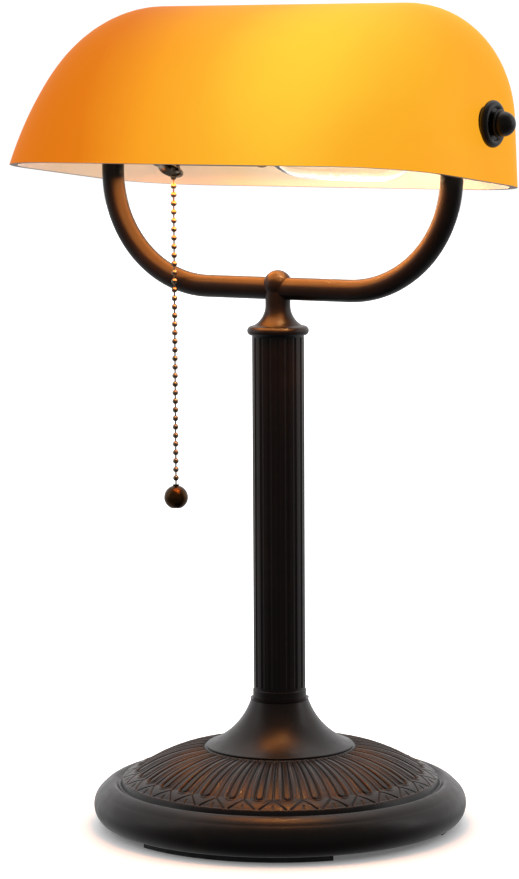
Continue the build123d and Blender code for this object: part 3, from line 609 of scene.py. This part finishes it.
def area(name, place, target, size, power, colour=(1.0, 1.0, 1.0)):
    light = bpy.data.lights.new(name, "AREA")
    light.shape = "RECTANGLE"
    light.size, light.size_y = size
    light.energy = power
    light.color = colour
    made = bpy.data.objects.new(name, light)
    made.location = place
    made.rotation_euler = (Vector(target) - Vector(place)).to_track_quat("-Z", "Y").to_euler()
    bpy.context.scene.collection.objects.link(made)
    return made


FACING = math.radians(30.8)


def toward(right, back, up):
    """A place given as seen from the camera: right of, behind and above the origin."""
    c, s = math.cos(FACING), math.sin(FACING)
    return (right * c - back * s, right * s + back * c, up)


def sky_part(tree, coord, toward_point, low, high, at_low, at_high):
    """Brightness of the surroundings along one direction, smoothly from low to high."""
    facing = tree.nodes.new("ShaderNodeVectorMath")
    facing.operation = "DOT_PRODUCT"
    facing.inputs[1].default_value = toward_point
    tree.links.new(coord, facing.inputs[0])
    part = tree.nodes.new("ShaderNodeMapRange")
    part.interpolation_type = "SMOOTHSTEP"
    for key, number in zip(("From Min", "From Max", "To Min", "To Max"), (low, high, at_low, at_high)):
        part.inputs[key].default_value = number
    tree.links.new(facing.outputs["Value"], part.inputs["Value"])
    return part.outputs["Result"]


def studio():
    world = bpy.data.worlds.new("studio")
    world.use_nodes = True
    tree = world.node_tree
    sky = tree.nodes["Background"]
    sky.inputs["Color"].default_value = (1.0, 1.0, 1.0, 1.0)
    bpy.context.scene.world = world
    # white walls behind and beside the lamp, a dark room in front of it and a dark floor
    coord = tree.nodes.new("ShaderNodeTexCoord").outputs["Generated"]
    wall = sky_part(tree, coord, (math.sin(FACING), -math.cos(FACING), 0.0), -0.35, 0.40, 1.20, 0.24)
    ground = sky_part(tree, coord, (0.0, 0.0, 1.0), -0.30, 0.05, 0.50, 1.0)
    both = tree.nodes.new("ShaderNodeMath")
    both.operation = "MULTIPLY"
    tree.links.new(wall, both.inputs[0])
    tree.links.new(ground, both.inputs[1])
    tree.links.new(both.outputs[0], sky.inputs["Strength"])
    # seen directly, the room is plain white
    white = tree.nodes.new("ShaderNodeBackground")
    white.inputs["Color"].default_value = (1.0, 1.0, 1.0, 1.0)
    white.inputs["Strength"].default_value = 1.05
    path = tree.nodes.new("ShaderNodeLightPath")
    swap = tree.nodes.new("ShaderNodeMixShader")
    tree.links.new(path.outputs["Is Camera Ray"], swap.inputs[0])
    tree.links.new(sky.outputs[0], swap.inputs[1])
    tree.links.new(white.outputs[0], swap.inputs[2])
    tree.links.new(swap.outputs[0], tree.nodes["World Output"].inputs["Surface"])
    middle = (0.0, 0.0, 0.15)
    area("key", toward(-1.3, -0.1, 0.9), middle, (0.5, 1.2), 2.2)
    area("fill", toward(1.4, 0.0, 0.7), middle, (0.4, 1.2), 3.2)
    area("top", toward(0.0, 0.5, 1.7), middle, (1.6, 1.0), 5.0)
    bulb = bpy.data.lights.new("bulb_light", "POINT")
    bulb.energy = 1.0
    bulb.color = (1.0, 0.60, 0.26)
    bulb.shadow_soft_size = 0.018
    inside = bpy.data.objects.new("bulb_light", bulb)
    inside.location = BULB_CENTRE
    bpy.context.scene.collection.objects.link(inside)
    spill = area("shade_glow", (0.0, -0.012, 0.327), (0.0, -0.012, 0.0), (0.17, 0.10), 0.80,
                 (1.0, 0.31, 0.06))
    spill.visible_camera = False


def camera():
    data = bpy.data.cameras.new("camera")
    data.sensor_fit = "VERTICAL"
    data.sensor_height = 36.0
    data.lens = 3300.0 * 36.0 / 879.0
    data.clip_start = 0.05
    data.clip_end = 30.0
    made = bpy.data.objects.new("camera", data)
    bearing, pitch, yaw, roll = math.radians(30.8), math.radians(6.56), math.radians(0.332), 0.0052
    made.location = (1.650 * math.sin(bearing), -1.650 * math.cos(bearing), 0.386)
    turn = Matrix.Rotation(bearing + yaw, 4, "Z") @ Matrix.Rotation(math.pi / 2 - pitch, 4, "X")
    turn = turn @ Matrix.Rotation(-roll, 4, "Z")
    made.matrix_world = Matrix.Translation(made.location) @ turn
    bpy.context.scene.collection.objects.link(made)
    bpy.context.scene.camera = made


bpy.context.scene.view_settings.view_transform = "Standard"
floor()
studio()
camera()
